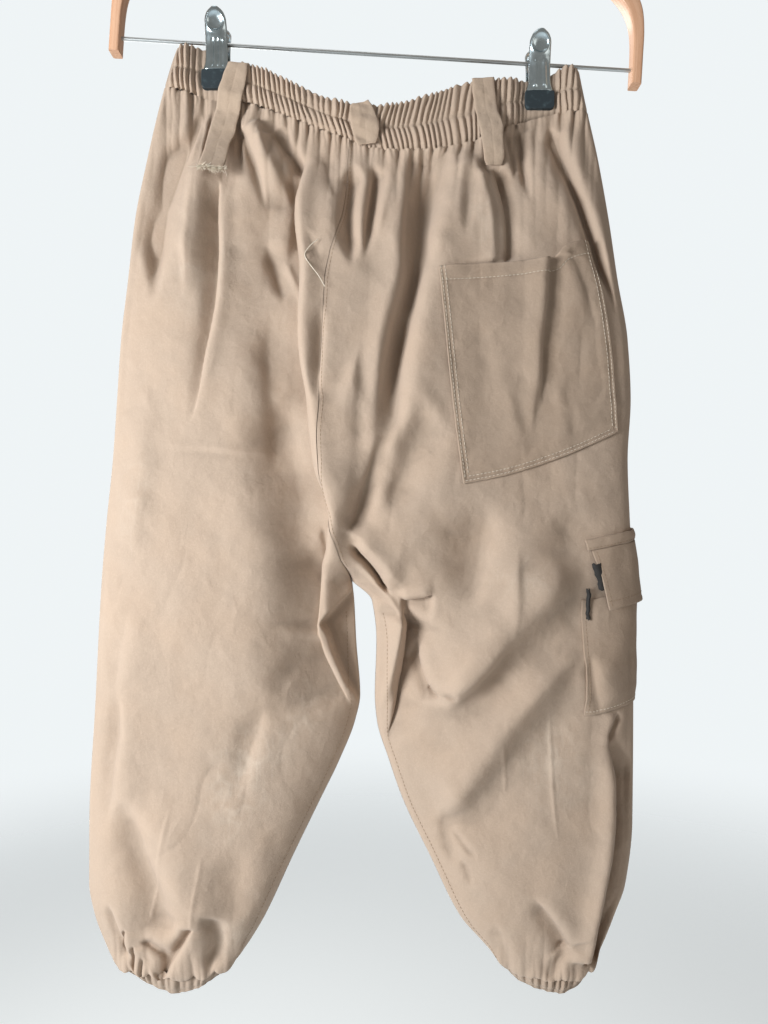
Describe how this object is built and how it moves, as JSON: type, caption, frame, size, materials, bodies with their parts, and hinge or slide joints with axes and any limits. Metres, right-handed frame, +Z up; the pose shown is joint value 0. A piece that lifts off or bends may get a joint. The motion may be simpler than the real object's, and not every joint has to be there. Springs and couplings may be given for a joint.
{
  "type": "jogger pants on a clip hanger",
  "caption": "Elastic-waist cotton twill jogger pants with patch and cargo pockets, hung by the waistband from a wooden clip hanger, back side to -Y.",
  "frame": {"origin": "inner top of the hanger's hook, where a rail carries it", "axes": "+Z up along the hang, +X across the garment to the left hand of someone facing its front (the right of its back view), +Y out of the garment's front, so its back faces -Y"},
  "size_m": [0.4171, 0.0614, 0.8679],
  "materials": {
    "twill": "faded khaki cotton twill, matte, softly worn",
    "pocket_twill": "khaki cotton twill with cream topstitching",
    "loop_tape": "folded khaki twill strip",
    "beech": "clear-lacquered bent beech",
    "steel": "drawn steel wire",
    "clip_chrome": "bright chrome plate",
    "clip_rubber": "black rubber, satin"
  },
  "bodies": {
    "root": {"back_left": "twill", "back_right": "twill", "front_left": "twill", "front_right": "twill", "waistband_back": "twill", "waistband_front": "twill", "hem_left": "twill", "hem_right": "twill", "patch_pocket": "pocket_twill", "cargo_pocket": "pocket_twill", "cargo_flap": "pocket_twill", "cargo_binding": "pocket_twill", "belt_loop_left": "loop_tape", "belt_loop_centre": "loop_tape", "belt_loop_right": "loop_tape", "belt_loop_front_left": "loop_tape", "belt_loop_front_right": "loop_tape", "hanger_arms": "beech", "hanger_bar": "steel", "hanger_hook": "steel", "clip_left_jaw_back": "clip_chrome", "clip_left_jaw_front": "clip_chrome", "clip_left_spring": "clip_chrome", "clip_right_jaw_back": "clip_chrome", "clip_right_jaw_front": "clip_chrome", "clip_right_spring": "clip_chrome", "clip_left_pad_back": "clip_rubber", "clip_left_pad_front": "clip_rubber", "clip_right_pad_back": "clip_rubber", "clip_right_pad_front": "clip_rubber"}
  },
  "joints": []
}
